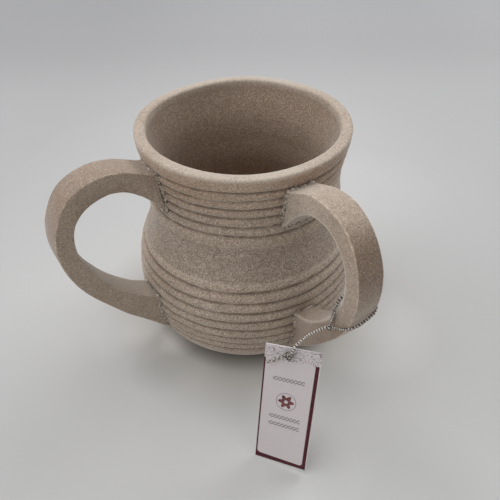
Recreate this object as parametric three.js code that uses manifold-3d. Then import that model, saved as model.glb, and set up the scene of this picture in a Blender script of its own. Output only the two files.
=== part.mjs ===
// Washing cup with two handles, and a card tag tied round one of them with a metallic string.
// Millimetres, +Z up, origin at the centre of the flat base. The tagged handle points along +X.
import * as THREE from 'three';
import { mergeVertices } from 'three/addons/utils/BufferGeometryUtils.js';
import Module from 'manifold-3d';

const wasm = await Module();
wasm.setup();

// Cup outside: base, belly, neck and lip
const bellyRadius = 64.6;
const baseTuck = 18.6;
const neckPinch = 12.5;
const lipFlare = 3.2;
const baseRadius = bellyRadius - baseTuck;
const neckRadius = bellyRadius - neckPinch;
const lipRadius = neckRadius + lipFlare;
const bellyHeight = 36;
const neckHeight = 101;
const lipHeight = 125.3;
const lipCrown = 2.1;
const lipThickness = 5.6;

// Cup inside
const wallThickness = 6.2;
const floorThickness = 7;
const innerCornerHeight = 11;
const innerCornerReach = 16;

// Thrown ribs, in two bands, and the smooth strip between the bands
const grooveDepth = 0.8;
const lowerGrooveHeight = 19;
const lowerRibPitch = 6.1;
const lowerRibCount = 7;
const lowerBandTop = 66.5;
const upperGrooveHeight = 92.7;
const upperRibPitch = 5.35;
const upperRibCount = 5;
const upperBandFoot = 85.8;
const facetsRound = 60;

// Handles
const handleStandOut = 55;
const handleRise = 1.5;
const handleTop = lipHeight + handleRise;
const handleFootHeight = 15;
const strapWidth = 12.8;
const strapEdgeShare = 0.03636;
const strapEdgeRound = handleStandOut * strapEdgeShare;
const footFlare = 0.9;
const footFlareReach = 14;
const handleSpacingAngle = -85;
const outerEdgeSteps = 30;
const innerEdgeSteps = 26;
const edgeRoundSteps = 2;

// Adhesive at the four handle feet
const adhesiveThickness = 1;
const adhesiveOverhang = 1.1;

// Seating gap between touching pieces
const seatGap = 0.3;
const cutOverrun = 5;

// Card tag
const tagWidth = 26;
const tagLength = 67.5;
const tagThickness = 0.6;
const tagTurnAngle = 46.6;
const tagHoleAcross = 11.6;
const tagHoleBelowTop = 4.4;
const tagHoleRadius = 1.5;
const tagHoleSides = 12;

// Metallic string, and the middle of the card's hole, where its knot sits
const knotPlace = [93.9, -28.9, 59.6];
const stringDiameter = 1.3;
const stringSides = 8;
const knotWidth = 4.2;
const knotHeight = 3.4;
const knotDepth = 2.6;
const knotFacets = 10;
const knotStemRadius = 0.9;
const stringSteps = 56;
const tailSteps = 10;

// Shares of the height and of the swell along each stretch of the cup's outside, from below
const footCurveShares = [
  [0, 0], [0.05, 0.26], [0.13, 0.47], [0.23, 0.63], [0.38, 0.8], [0.61, 0.9], [0.84, 0.985], [1, 1],
];
const waistCurveShares = [
  [0, 1], [0.21, 0.904], [0.38, 0.688], [0.46, 0.49], [0.55, 0.324], [0.67, 0.148], [0.84, 0.064], [1, 0],
];
const throatCurveShares = [[0, 0], [0.46, 0.37], [0.78, 0.85], [1, 1]];

// A rib from one groove to the next: share of the pitch, share of the groove's depth
const ribShares = [[0, 1], [0.28, 0.12], [0.74, 0.12]];

// Handle edges from the top foot to the bottom foot, as shares of how far it stands out from the neck
// and of the height from the bottom foot to the top
const outerEdgeShares = [
  [-0.15, 0.908], [0.05, 0.928], [0.14, 0.948], [0.23, 0.969], [0.33, 0.988], [0.49, 1],
  [0.65, 0.987], [0.77, 0.96], [0.86, 0.917], [0.925, 0.863], [0.976, 0.8], [1, 0.715],
  [0.99, 0.635], [0.95, 0.55], [0.89, 0.474], [0.81, 0.402], [0.707, 0.325], [0.562, 0.224],
  [0.4, 0.129], [0.17, 0], [0.03, -0.07], [-0.15, -0.07],
];
const innerEdgeShares = [
  [-0.15, 0.6], [0.007, 0.73], [0.053, 0.767], [0.12, 0.81], [0.2, 0.85], [0.315, 0.891],
  [0.435, 0.909], [0.544, 0.904], [0.653, 0.885], [0.74, 0.853], [0.8, 0.811], [0.833, 0.751],
  [0.836, 0.684], [0.809, 0.608], [0.755, 0.536], [0.644, 0.447], [0.515, 0.371], [0.382, 0.315],
  [0.28, 0.284], [0.207, 0.258], [0.107, 0.215], [-0.15, 0.13],
];

// Route of the string's middle: from the knot up to the handle, once round the strap and back
const stringRoute = [
  [95.2, -29.6, 62.3], [95.1, -28.5, 64.3], [94.8, -27, 66], [94.1, -23.7, 66.8], [92.9, -19, 66.6],
  [93.2, -13.8, 67.3], [94.2, -9.9, 68.4], [96.4, -7.9, 69.2], [99.6, -7.5, 71.4], [102.9, -7.3, 74.3],
  [105, -6.2, 76.2], [106.3, -3, 77.8], [106.7, 1.2, 79.7], [106.4, 5.2, 81.6], [105, 7.4, 83.2],
  [102, 7.7, 86],
  [98.4, 7.6, 87.8], [96.4, 6.2, 88.6], [95.9, 2.5, 88.6], [95.7, -2.5, 87.8], [95.9, -6, 86.4],
  [96, -7.7, 83], [95.3, -7.6, 79], [94.8, -7.6, 75], [95.3, -7.9, 70.9],
];

// Materials, in the colours of the photographed cup
function finish(colour, roughness, metalness) {
  return new THREE.MeshStandardMaterial({ color: colour, roughness, metalness });
}
const stone = finish(0xa89786, 0.85, 0);
const adhesive = finish(0x9c948a, 0.45, 0);
const card = finish(0xd9d3d6, 0.6, 0);
const metallicString = finish(0x8f8f92, 0.35, 0.7);

// Solids and meshes
function toSolid(geometry) {
  const bare = geometry.index ? geometry.toNonIndexed() : geometry.clone();
  bare.deleteAttribute('normal');
  bare.deleteAttribute('uv');
  const merged = mergeVertices(bare);
  return new wasm.Manifold(new wasm.Mesh({
    numProp: 3,
    vertProperties: new Float32Array(merged.attributes.position.array),
    triVerts: new Uint32Array(merged.index.array),
  }));
}

function toGeometry(solid) {
  const mesh = solid.getMesh();
  const geometry = new THREE.BufferGeometry();
  geometry.setAttribute('position', new THREE.BufferAttribute(mesh.vertProperties, mesh.numProp));
  geometry.setIndex(new THREE.BufferAttribute(mesh.triVerts, 1));
  geometry.computeVertexNormals();
  return geometry;
}

function named(name, geometry, material) {
  const mesh = new THREE.Mesh(geometry, material);
  mesh.name = name;
  return mesh;
}

// Smooth curve through points [position, value], read at one position
function smoothValue(points, position) {
  const last = points.length - 1;
  let i = points.findIndex((point) => point[0] > position) - 1;
  if (i < 0) i = position <= points[0][0] ? 0 : last - 1;
  const slope = (k) => {
    const before = points[Math.max(k - 1, 0)];
    const after = points[Math.min(k + 1, last)];
    return (after[1] - before[1]) / (after[0] - before[0]);
  };
  const [start, end] = [points[i], points[i + 1]];
  const step = end[0] - start[0];
  const t = THREE.MathUtils.clamp((position - start[0]) / step, 0, 1);
  const near = start[1] + slope(i) * step * t;
  const far = end[1] - slope(i + 1) * step * (1 - t);
  const blend = t * t * (3 - 2 * t);
  return near * (1 - blend) + far * blend;
}

// Cup body
function stretch(shares, low, high, narrow, wide) {
  return shares.map(([rise, swell]) => [low + rise * (high - low), narrow + swell * (wide - narrow)]);
}
const crestPoints = [
  ...stretch(footCurveShares, 0, bellyHeight, baseRadius, bellyRadius),
  ...stretch(waistCurveShares, bellyHeight, neckHeight, neckRadius, bellyRadius).slice(1),
  ...stretch(throatCurveShares, neckHeight, lipHeight, neckRadius, lipRadius).slice(1),
];
const crestRadius = (height) => smoothValue(crestPoints, height);

function ribProfile(firstGroove, pitch, count) {
  const points = [];
  for (let rib = 0; rib < count; rib += 1) {
    for (const [rise, depth] of ribShares) {
      const height = firstGroove + (rib + rise) * pitch;
      points.push([crestRadius(height) - depth * grooveDepth, height]);
    }
  }
  const top = firstGroove + count * pitch;
  points.push([crestRadius(top) - grooveDepth, top]);
  return points;
}

function crestProfile(low, high, steps) {
  return Array.from({ length: steps }, (_, i) => {
    const height = low + (high - low) * i / Math.max(steps - 1, 1);
    return [crestRadius(height), height];
  });
}

function lipProfile() {
  const steps = 6;
  return Array.from({ length: steps + 1 }, (_, i) => {
    const turn = Math.PI * i / steps;
    const middle = lipRadius - lipThickness / 2;
    return [middle + Math.cos(turn) * lipThickness / 2, lipHeight + Math.sin(turn) * lipCrown];
  });
}

function insideProfile() {
  const steps = 12;
  const cornerSteps = 5;
  const cornerTop = floorThickness + innerCornerHeight;
  const cornerRadius = crestRadius(cornerTop) - wallThickness;
  const sides = Array.from({ length: steps }, (_, i) => {
    const height = lipHeight - (lipHeight - cornerTop) * (i + 1) / (steps + 1);
    return [crestRadius(height) - wallThickness, height];
  });
  const corner = Array.from({ length: cornerSteps + 1 }, (_, i) => {
    const turn = Math.PI / 2 * i / cornerSteps;
    const reach = cornerRadius - innerCornerReach * (1 - Math.cos(turn));
    return [reach, cornerTop - innerCornerHeight * Math.sin(turn)];
  });
  return [...sides, ...corner, [0, floorThickness]];
}

function lathe(profile) {
  const points = profile.map(([radius, height]) => new THREE.Vector2(radius, height));
  return new THREE.LatheGeometry(points, facetsRound).rotateX(Math.PI / 2);
}

function cupBody() {
  const lowerTop = lowerGrooveHeight + lowerRibCount * lowerRibPitch;
  const upperTop = upperGrooveHeight + upperRibCount * upperRibPitch;
  const shoulder = (lowerBandTop - lowerTop) / 3;
  return lathe([
    [0, 0],
    ...crestPoints.slice(0, 4).map(([height, radius]) => [radius, height]),
    [crestRadius(lowerGrooveHeight - lowerRibPitch / 2), lowerGrooveHeight - lowerRibPitch / 2],
    ...ribProfile(lowerGrooveHeight, lowerRibPitch, lowerRibCount),
    ...crestProfile(lowerTop + shoulder, lowerBandTop, 3),
    ...crestProfile(lowerBandTop, upperBandFoot, 5).slice(1),
    [crestRadius(upperGrooveHeight - upperRibPitch / 4), upperGrooveHeight - upperRibPitch / 4],
    ...ribProfile(upperGrooveHeight, upperRibPitch, upperRibCount),
    [crestRadius(upperTop + grooveDepth * 2), upperTop + grooveDepth * 2],
    ...lipProfile(),
    ...insideProfile(),
  ]);
}

// The cup's crest surface pushed outwards, as a plug that cuts what is fixed to the cup
function crestPlug(offset) {
  const steps = 34;
  const side = crestProfile(0, lipHeight, steps);
  const pushed = side.map(([radius, height]) => [radius + offset, height]);
  const top = lipHeight + cutOverrun;
  const bottom = -cutOverrun;
  return toSolid(lathe([
    [0, bottom], [pushed[0][0], bottom], ...pushed, [pushed[steps - 1][0], top], [0, top],
  ]));
}

// Handles
function edgePoints(shares, count) {
  const at = ([out, up]) => new THREE.Vector2(
    neckRadius + out * handleStandOut,
    handleFootHeight + up * (handleTop - handleFootHeight),
  );
  return new THREE.SplineCurve(shares.map(at)).getSpacedPoints(count);
}

// The strap lies in the XZ plane, grown by an overhang where it shapes an adhesive bead
function strap(overhang) {
  const outline = new THREE.Shape([
    ...edgePoints(outerEdgeShares, outerEdgeSteps),
    ...edgePoints(innerEdgeShares, innerEdgeSteps).reverse(),
  ]);
  const geometry = new THREE.ExtrudeGeometry(outline, {
    depth: strapWidth - 2 * strapEdgeRound,
    bevelEnabled: true,
    bevelThickness: strapEdgeRound + overhang,
    bevelSize: strapEdgeRound + overhang,
    bevelOffset: -strapEdgeRound,
    bevelSegments: edgeRoundSteps,
  });
  geometry.translate(0, 0, strapEdgeRound - strapWidth / 2).rotateX(Math.PI / 2);
  const position = geometry.attributes.position;
  for (let i = 0; i < position.count; i += 1) {
    const clear = position.getX(i) - crestRadius(THREE.MathUtils.clamp(position.getZ(i), 0, lipHeight));
    const nearness = THREE.MathUtils.clamp(1 - clear / footFlareReach, 0, 1);
    const side = Math.sign(position.getY(i));
    position.setY(i, position.getY(i) + side * footFlare * nearness * nearness);
  }
  return toSolid(geometry);
}

const adhesiveBack = crestPlug(seatGap);
const adhesiveFront = crestPlug(seatGap + adhesiveThickness);
const footFace = crestPlug(2 * seatGap + adhesiveThickness);
const handleSolid = strap(0).subtract(footFace);
const beadSolid = strap(adhesiveOverhang).intersect(adhesiveFront).subtract(adhesiveBack);

function halfSpace(low, high) {
  const size = 2 * (neckRadius + handleStandOut + cutOverrun);
  const box = new THREE.BoxGeometry(size, size, high - low);
  box.translate(0, 0, (low + high) / 2);
  return toSolid(box);
}

function handleSet(side, angle) {
  const group = new THREE.Group();
  group.rotation.z = THREE.MathUtils.degToRad(angle);
  const split = (handleFootHeight + handleTop) / 2;
  const above = halfSpace(split, handleTop + cutOverrun);
  const below = halfSpace(-cutOverrun, split);
  group.add(
    named(`handle_${side}`, toGeometry(handleSolid), stone),
    named(`adhesive_${side}_top`, toGeometry(beadSolid.intersect(above)), adhesive),
    named(`adhesive_${side}_bottom`, toGeometry(beadSolid.intersect(below)), adhesive),
  );
  return group;
}

// Card tag, drawn in its own plane: X across, Y up the card, Z towards the printed face
function tagCard() {
  const outline = new THREE.Shape([
    new THREE.Vector2(0, 0),
    new THREE.Vector2(tagWidth, 0),
    new THREE.Vector2(tagWidth, tagLength),
    new THREE.Vector2(0, tagLength),
  ]);
  const hole = new THREE.Path();
  hole.absarc(tagHoleAcross, tagLength - tagHoleBelowTop, tagHoleRadius, 0, 2 * Math.PI, true);
  outline.holes.push(hole);
  return new THREE.ExtrudeGeometry(outline, {
    depth: tagThickness,
    bevelEnabled: false,
    curveSegments: tagHoleSides,
  });
}

// Knot in front of the card, with its stem through the hole and its loop behind
function knot() {
  const bead = (side) => {
    const ball = new THREE.SphereGeometry(1, knotFacets, knotFacets - 2);
    ball.scale(knotWidth / 2, knotHeight / 2, knotDepth / 2);
    return ball.translate(0, 0, tagThickness / 2 + side * (tagThickness / 2 + seatGap + knotDepth / 2));
  };
  const length = tagThickness + 2 * seatGap + knotDepth;
  const stem = new THREE.CylinderGeometry(knotStemRadius, knotStemRadius, length, knotFacets);
  stem.rotateX(Math.PI / 2).translate(0, 0, tagThickness / 2);
  const joined = toSolid(bead(1)).add(toSolid(bead(-1))).add(toSolid(stem));
  return toGeometry(joined).translate(tagHoleAcross, tagLength - tagHoleBelowTop, 0);
}

function tube(points, steps) {
  const route = new THREE.CatmullRomCurve3(points);
  const section = new THREE.Shape(Array.from({ length: stringSides }, (_, i) => {
    const turn = 2 * Math.PI * i / stringSides;
    return new THREE.Vector2(Math.cos(turn), Math.sin(turn)).multiplyScalar(stringDiameter / 2);
  }));
  return new THREE.ExtrudeGeometry(section, { extrudePath: route, steps, bevelEnabled: false });
}

// Loose end of the string, lying on the card from the knot to the card's left edge
function tail() {
  const lift = tagThickness + seatGap + stringDiameter / 2;
  const start = tagHoleAcross - knotWidth / 2 - seatGap;
  const level = tagLength - tagHoleBelowTop;
  const sag = tagHoleBelowTop;
  const shares = [[1, 0], [0.84, 0.35], [0.61, 0.72], [0.38, 0.93], [0.15, 1.12]];
  return tube(shares.map(([across, down]) => (
    new THREE.Vector3(start * across, level - sag * down, lift)
  )), tailSteps);
}

// The card hangs at its hole, and leans back as far as it must for its foot to stand on the table
function tagSet() {
  const group = new THREE.Group();
  const holeHeight = tagLength - tagHoleBelowTop;
  const lean = Math.acos(Math.min((knotPlace[2] - seatGap) / holeHeight, 1));
  group.rotation.set(Math.PI / 2 - lean, 0, THREE.MathUtils.degToRad(tagTurnAngle), 'ZYX');
  const hole = new THREE.Vector3(tagHoleAcross, holeHeight, 0).applyEuler(group.rotation);
  group.position.set(...knotPlace).sub(hole);
  group.add(
    named('hang_tag', tagCard(), card),
    named('string_knot', knot(), metallicString),
    named('string_tail', tail(), metallicString),
  );
  return group;
}

const cup = new THREE.Group();
cup.add(
  named('cup_body', cupBody(), stone),
  handleSet('right', 0),
  handleSet('left', handleSpacingAngle),
  named('tag_string', tube(stringRoute.map((p) => new THREE.Vector3(...p)), stringSteps), metallicString),
  tagSet(),
);

export default cup;
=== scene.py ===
import math
from functools import reduce

import bmesh
import bpy
import numpy as np
from mathutils import Matrix, Vector


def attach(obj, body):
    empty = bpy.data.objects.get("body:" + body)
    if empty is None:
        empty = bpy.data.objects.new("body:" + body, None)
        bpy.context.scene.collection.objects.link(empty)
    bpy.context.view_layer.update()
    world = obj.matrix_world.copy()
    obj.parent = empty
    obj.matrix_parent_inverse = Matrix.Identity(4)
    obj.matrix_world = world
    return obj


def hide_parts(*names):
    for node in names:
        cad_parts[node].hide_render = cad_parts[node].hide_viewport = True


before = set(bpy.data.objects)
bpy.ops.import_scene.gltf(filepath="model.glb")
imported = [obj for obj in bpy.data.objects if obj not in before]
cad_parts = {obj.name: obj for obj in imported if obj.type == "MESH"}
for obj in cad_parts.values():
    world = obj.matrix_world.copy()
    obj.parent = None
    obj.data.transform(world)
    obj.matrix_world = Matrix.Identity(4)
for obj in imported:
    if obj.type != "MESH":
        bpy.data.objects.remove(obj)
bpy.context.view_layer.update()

# Camera at the photograph's viewing angle, and the level directions away from it and towards it
CAMERA_PLACE = Vector((0.206429, -0.110223, 0.246785))
CAMERA_RIGHT = Vector((0.4901, 0.87156, -0.01336))
CAMERA_UP = Vector((-0.57452, 0.33452, 0.74701))
CAMERA_LENS = 36
CAMERA_CLIP = 0.005
AWAY = Vector((-0.877, 0.48, 0))
FRONT_ANGLE = -0.5

# Cup body, in metres: outside, lip and inside, with the outside's curves as shares
BELLY_RADIUS = 0.0646
BASE_RADIUS = 0.046
NECK_RADIUS = 0.0521
LIP_RADIUS = 0.0553
BELLY_HEIGHT = 0.036
NECK_HEIGHT = 0.101
LIP_HEIGHT = 0.1253
LIP_CROWN = 0.0021
LIP_THICKNESS = 0.006
LIP_SQUARENESS = (0.55, 0.45)
WALL_THICKNESS = 0.0062
FLOOR_THICKNESS = 0.007
INNER_CORNER_HEIGHT = 0.011
INNER_CORNER_REACH = 0.016
FOOT_CURVE = [
    (0, 0), (0.05, 0.235), (0.13, 0.445), (0.23, 0.61), (0.38, 0.785), (0.61, 0.9), (0.84, 0.985),
    (1, 1),
]
WAIST_CURVE = [
    (0, 1), (0.21, 0.904), (0.38, 0.688), (0.46, 0.49), (0.55, 0.324), (0.67, 0.148), (0.84, 0.064),
    (1, 0),
]
THROAT_CURVE = [(0, 0), (0.46, 0.37), (0.78, 0.85), (1, 1)]

# Bands of grooves, as first height, pitch and count, and each groove's relief, dirt and painted shade
GROOVES = [(0.019, 0.0061, 8), (0.0927, 0.00535, 6)]
RIB_SWELL = 0.00125
RIB_SHARE_ABOVE = 0.42
RIB_ROUNDNESS = 0.8
GROOVE_CUT = 0.0004
GROOVE_WIDTH = 0.00055
GROOVE_WANDER = 0.00009
FAINT_GROOVE = 12
FAINT_STRENGTH = 0.7
FAINT_WANDER = 2
# Dirt and painted shade along each groove, and painted shade that fades down the rib below it
GROOVE_DIRT_AND_SHADE_SHARE = 0.9
GROOVE_DIRT_AND_SHADE_DROP = 0.0002
GROOVE_DIRT_AND_SHADE_WIDTH = 0.0006
RIB_SHADE_SHARE = 0.26
RIB_SHADE_REACH = 0.0014

# Smooth strip between the two bands, and a painted highlight along the ledge at its foot
STRIP_LOW = 0.0665
STRIP_HIGH = 0.0858
STRIP_DEPTH = 0.00035
STRIP_EDGE = 0.0007
STRIP_SWAY = 0.0003
LEDGE_HIGHLIGHT_DROP = 0.0006
LEDGE_HIGHLIGHT_WIDTH = 0.0007

# Mesh of the body, and how far its wall and lip stray from round
BODY_SEED = 7
BODY_COLUMNS = 400
BODY_STEP = 0.00042
INSIDE_STEP = 0.0013
INSIDE_START = 0.0006
LIP_ROWS = 20
BASE_RINGS = (BASE_RADIUS - 0.0012, BASE_RADIUS - 0.0004)
WALL_STRAY = 0.00012
LIP_STRAY = 0.0001
LIP_SAG = 0.00012

# Darkened patches: direction in degrees, cosines where each starts and is full, heights likewise,
# strength
# A darker patch on the lower ribs by the left handle's bottom foot, and the heights where it ends
LEFT_FOOT_DARKENING = (-76, 0.965, 0.993, 0.046, 0.053, 0.24)
LEFT_FOOT_DARKENING_ENDS = (0.056, 0.068)
# Painted shade on the inside wall, on two sides
INSIDE_WALL_SHADE = [(75, 0.5, 1, 0.07, 0.1, 0.22), (-120, 0.83, 0.98, 0.085, 0.106, 0.55)]

# Handles: edges as shares of how far a handle stands out and of its height
HANDLE_STAND_OUT = 0.055
HANDLE_TOP = 0.1268
HANDLE_FOOT = 0.015
HANDLE_MIDDLE = 0.07
STRAP_ROWS = 260
STRAP_EDGE_ROUND = 0.0009
STRAP_CROWN = 0.0003
STRAP_RIM = 0.0013
STRAP_STRAY = 0.00012
FOOT_FLARE = 0.0009
FOOT_FLARE_REACH = 0.014
FOOT_GAP = 0.0006
END_DIRT_AND_SHADE_REACH = 0.0016
# brown sets the painted shade on a strap and its pale rim; tan its warm tone and the painted light on
# its lower inner face
HANDLES = {
    "right": dict(
        angle=0, brown=1, tan=0, seed=11, width=0.013, lift=0, drop=-0.0014, low_flare=-0.0008),
    "left": dict(
        angle=-85, brown=0.15, tan=0.3, seed=23, width=0.0148, lift=0.0008, drop=0.0034,
        low_flare=0.0009),
}
OUTER_EDGE = [
    (-0.15, 0.908), (0.05, 0.928), (0.14, 0.948), (0.23, 0.969), (0.33, 0.988), (0.49, 1),
    (0.65, 0.987), (0.77, 0.96), (0.86, 0.917), (0.925, 0.863), (0.976, 0.8), (1, 0.715),
    (0.99, 0.635), (0.95, 0.55), (0.89, 0.474), (0.81, 0.402), (0.707, 0.325), (0.562, 0.224),
    (0.4, 0.129), (0.17, 0), (0.03, -0.07), (-0.15, -0.07),
]
INNER_EDGE = [
    (-0.15, 0.6), (0.007, 0.73), (0.053, 0.767), (0.12, 0.81), (0.2, 0.85), (0.315, 0.891),
    (0.435, 0.909), (0.544, 0.904), (0.653, 0.885), (0.74, 0.853), (0.8, 0.811), (0.833, 0.751),
    (0.836, 0.684), (0.809, 0.608), (0.755, 0.536), (0.644, 0.447), (0.515, 0.371), (0.382, 0.315),
    (0.28, 0.284), (0.207, 0.258), (0.107, 0.215), (-0.15, 0.13),
]

# Adhesive beads with their crumbs, and the smear and painted shade round them on the cup
BEAD_SEED = 40
BEAD_RADIUS = 0.0009
BEAD_LIFT = 0.0001
BEAD_TUCK = 0.0006
BEAD_WANDER = 0.00025
BEAD_STEP = 0.0003
BEAD_SIDES = 12
CRUMBS = 150
CRUMB_SIZES = (0.00025, 0.00065)
CRUMB_SPREAD = 0.001
CRUMB_LIFT = 0.0001
CRUMB_PALENESS = (0, 0.3, 0.6, 0.95)
SMEAR_AND_SHADE_REACH = 0.0017
FOOT_REACH = 0.03

# Card tag, with its bow, twist and rise at the foot from one side to the other
TAG_WIDTH = 0.026
TAG_LENGTH = 0.0675
TAG_THICKNESS = 0.0006
TAG_TURN = 46.6
TAG_HOLE = (0.0116, 0.0631)
TAG_HOLE_RADIUS = 0.0015
TAG_BOW = 0.0005
TAG_TWIST = (-0.0013, 0.0023)
TAG_RISE = (0.0004, 0.0014)
TAG_COLUMNS = 27
TAG_ROWS = 69
SEAT_GAP = 0.0003
KNOT_PLACE = Vector((0.0939, -0.0289, 0.0596))

# Print on the card, in millimetres from its lower left corner
PRINT_SOFT = 0.12
BAND_FOOT = 57.6
BAND_WANDER = 5.5
BORDER_LEFT = 0.75
BORDER_RIGHT = 23.8
BORDER_FOOT = 3.2
BORDER_TOP = 60.4
BORDER_END = 25.6
CORNER_SUM = 5.1
CORNER_DIFFERENCE = 19.6
CORNER_TOP = 5
ROSETTE = (12.4, 38)
PETALS = 6
PETAL_REACH = 3.1
PETAL_DEPTH = 0.8
EYE_RADIUS = 0.9
RING_INSIDE = 4.5
RING_OUTSIDE = 4.95
BRAID_LEVELS = (24, 28.4, 50)
BRAID_ENDS = (5, 20)
BRAID_TURN = 1.7
BRAID_SWING = 0.85
BRAID_LINE = 0.3

# Metallic string: two plies laid together, each striped silver and charcoal
STRING_DIAMETER = 0.0013
PLIES = 2
PLY_SIDES = 12
PLY_OFFSET = 0.00032
PLY_RADIUS = 0.00038
STRING_PITCH = 0.0025
STRIPE_PITCH = 0.00095
STRING_STEP = 0.00016
# Painted shade on the string where it wraps round the handle, on to its end: start, full and strength
STRING_SHADE_RUN = (0.024, 0.03)
STRING_SHADE_STRENGTH = 0.35
STRIPE_RELIEF = 0.1
FRAY_SPREAD = 1.2
FRAY_THINNING = 0.4
KNOT_SIZE = (0.0054, 0.0048, 0.003)
KNOT_SHIFT = (-0.0004, 0.0009)
KNOT_SCALE = 0.75
STEM_SCALE = 0.9
KNOT_BRIGHTNESS = 0.62
TAIL_BRIGHTNESS = 0.85
TAIL_FRAY = 0.002
KNOT_RUN_UP = [(0.0004, 0.0008, 0.0018), (0.0009, 0.0018, 0.0021)]
STRING_ROUTE = [
    (0.0952, -0.0296, 0.0623), (0.0951, -0.0285, 0.0643), (0.0948, -0.027, 0.066),
    (0.0941, -0.0237, 0.0668), (0.0929, -0.019, 0.0666), (0.0932, -0.0138, 0.0673),
    (0.0942, -0.0099, 0.0684), (0.0964, -0.0079, 0.0692), (0.0996, -0.0075, 0.0714),
    (0.1029, -0.0073, 0.0743), (0.105, -0.0062, 0.0762), (0.1063, -0.003, 0.0778),
    (0.1067, 0.0012, 0.0797), (0.1064, 0.0052, 0.0816), (0.105, 0.0074, 0.0832),
    (0.102, 0.0077, 0.086), (0.0984, 0.0076, 0.0878), (0.0964, 0.0062, 0.0886),
    (0.0959, 0.0025, 0.0886), (0.0957, -0.0025, 0.0878), (0.0959, -0.006, 0.0864),
    (0.096, -0.0077, 0.083), (0.0953, -0.0076, 0.079), (0.0948, -0.0076, 0.075),
    (0.0947, -0.0079, 0.0722), (0.0949, -0.0088, 0.0702), (0.096, -0.0099, 0.0691),
    (0.0958, -0.009, 0.0677),
]
TAIL_SHARES = [(1, 0), (0.84, 0.35), (0.61, 0.72), (0.38, 0.93), (0.15, 1.12)]

# Floor, darker far away as painted shade, and its patches of painted light and shadow
FLOOR_SIZE = 6
FLOOR_DROP = 0.0001
FLOOR_COLOUR = (0.55, 0.55, 0.545)
FLOOR_FAR_PAINTED_SHADE = (0.385, 0.387, 0.4)
FLOOR_NEAR = -0.12
FLOOR_FAR = 0.6
# Each patch: centre, radius where full, radius where gone and gain
FLOOR_PAINTED_LIGHT_AND_SHADOW = [
    ((-0.114, 0.062, 0), 0.05, 0.22, 1.13),
    ((0.065, 0.052, 0), 0.006, 0.042, 1.24),
    ((-0.006, -0.078, 0), 0.004, 0.03, 1.13),
    ((0.027, -0.07, 0), 0.006, 0.022, 0.84),
    ((0.014, -0.057, 0), 0.003, 0.013, 1.3),
    ((0.119, -0.031, 0), 0.002, 0.024, 0.88),
    ((0.16, 0, 0), 0.02, 0.05, 0.9),
    ((-0.055, 0.14, 0), 0.03, 0.08, 1.06),
]

# Painted shade on the floor in a far band and to both sides, and painted shadow near the cup and
# under it
BAND_AWAY = 0.46
BAND_EDGES = (0.03, 0.14)
BAND_PAINTED_SHADE = (0.935, 0.93, 0.93)
SIDE_MIDDLE = 0.03
SIDE_EDGES = (0.07, 0.24)
SIDE_PAINTED_SHADE = (0.93, 0.93, 0.93)
NEAR_EDGES = (0.045, 0.1)
NEAR_PAINTED_SHADOW = (0.82, 0.78, 0.73)
UNDER_EDGES = (0.048, 0.0635)
UNDER_PAINTED_SHADOW = (0.29, 0.26, 0.235)

# Backdrop and lamps, each lamp as its steps to the camera's right and away, and its power
WORLD_LIGHT = (0.03, 0.03, 0.03)
WORLD_SEEN = (0.42, 0.42, 0.43)
BACKDROP_EDGES = (0.65, 1.5)
LAMP_AIM = Vector((0, 0, 0.06))
LAMP_HEIGHT = 0.9
LAMP_SIZE = 1.2
OVERHEAD_PLACE = (-0.1, -0.1, 1.2)
OVERHEAD_SIZE = 0.7
OVERHEAD_POWER = 3.8
LAMPS = [
    ("left", -1.3, 0, 7.7), ("back_left", -0.95, 0.95, 6.1), ("back", 0, 1.3, 0.9),
    ("front_left", -0.95, -0.95, 6.3), ("front", 0, -1.3, 1.5), ("front_right", 0.95, -0.95, 4.8),
    ("back_right", 0.95, 0.95, 15),
]

# Stone: its colours, and those that multiply it where a mark says; some paint shade and light
STONE_BASE = ((0.43, 0.35, 0.284), (0.465, 0.384, 0.315))
# Inside the cup: darker stone as painted shade, browner towards the bottom as painted warm reflected
# light
STONE_INSIDE_SHADE_AND_REFLECTION = ((0.35, 0.275, 0.215), (0.485, 0.363, 0.277))
# Pale stone: worn spots, and painted highlights on the lip, the ledge and a handle face
STONE_PALE_WEAR_AND_HIGHLIGHT = (0.55, 0.48, 0.41)
STONE_WORN = (0.67, 0.565, 0.465)
STONE_DARK_SPECK = (0.14, 0.11, 0.09)
STONE_PALE_SPECK = (0.74, 0.68, 0.61)
# Dirt and painted shade in grooves and round the handles' feet
STONE_DIRT_AND_SHADE = (0.13, 0.095, 0.07)
# The strip's own tone; tan and brown also carry the painted shade under the lip, inside the cup and
# on the right handle
STONE_TINTS = {
    "strip": (0.84, 0.84, 0.85), "tan": (0.98, 0.88, 0.79), "brown": (0.56, 0.485, 0.44),
}
STONE_MOTTLE = (0.95, 0.935, 0.92)
SAND_CONTRAST = ((0.53, 0.51, 0.49), (1.44, 1.44, 1.44))
GRAIN_CONTRAST = ((0.6, 0.585, 0.57), (1.36, 1.36, 1.36))


# Curves and noise
def smooth_curve(points, at):
    """Cubic through (position, value) points, read at many positions."""
    x, y = np.array(points, float).T
    here = np.arange(len(x))
    before, after = np.maximum(here - 1, 0), np.minimum(here + 1, len(x) - 1)
    slope = (y[after] - y[before]) / (x[after] - x[before])
    i = np.clip(np.searchsorted(x, at, side="right") - 1, 0, len(x) - 2)
    step = x[i + 1] - x[i]
    t = np.clip((at - x[i]) / step, 0, 1)
    near = y[i] + slope[i] * step * t
    far = y[i + 1] - slope[i + 1] * step * (1 - t)
    blend = t * t * (3 - 2 * t)
    return near * (1 - blend) + far * blend


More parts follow.
